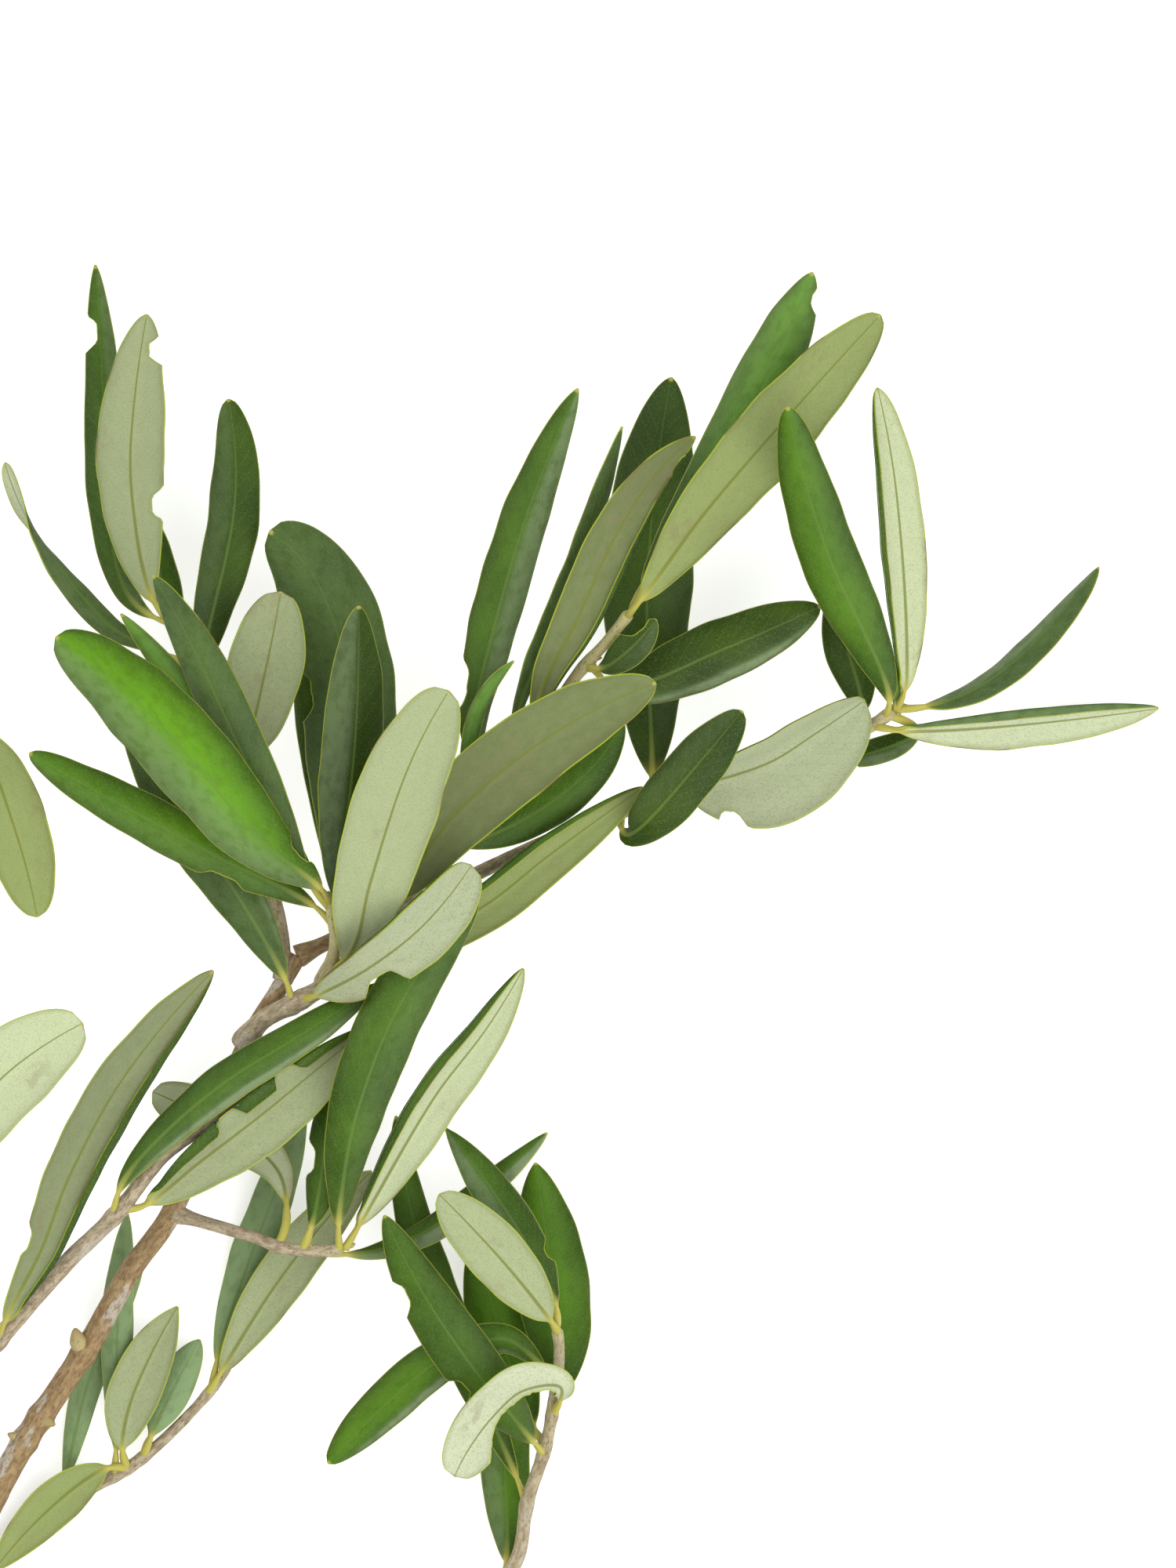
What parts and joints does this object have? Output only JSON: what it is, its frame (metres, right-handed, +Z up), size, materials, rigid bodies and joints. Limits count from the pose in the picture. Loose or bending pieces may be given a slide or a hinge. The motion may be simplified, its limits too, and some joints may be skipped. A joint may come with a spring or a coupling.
{
  "type": "leafy olive branch",
  "caption": "Cut olive branch lying on a surface: a forked woody stem with slender shoots and narrow leathery leaves, green above and pale grey-green beneath.",
  "frame": {"origin": "centre of the footprint, on the surface that the branch lies on", "axes": "+Z up from the surface toward a viewer who looks down on it, +Y toward the upper leaves, +X toward the right-hand shoot"},
  "size_m": [0.2658, 0.295, 0.0637],
  "materials": {
    "bark": "matt tan-brown bark with grey patches",
    "foliage": "leathery leaf, satin green above, matt grey-green beneath, on a grey-beige shoot"
  },
  "bodies": {
    "root": {"main_stem": "bark", "left_shoot": "foliage", "right_shoot": "foliage", "middle_shoot": "foliage", "front_shoot": "foliage", "lower_shoot": "foliage", "twig_shoot": "foliage", "bottom_shoot": "foliage", "rear_shoot": "foliage", "outer_shoot": "foliage"}
  },
  "joints": []
}
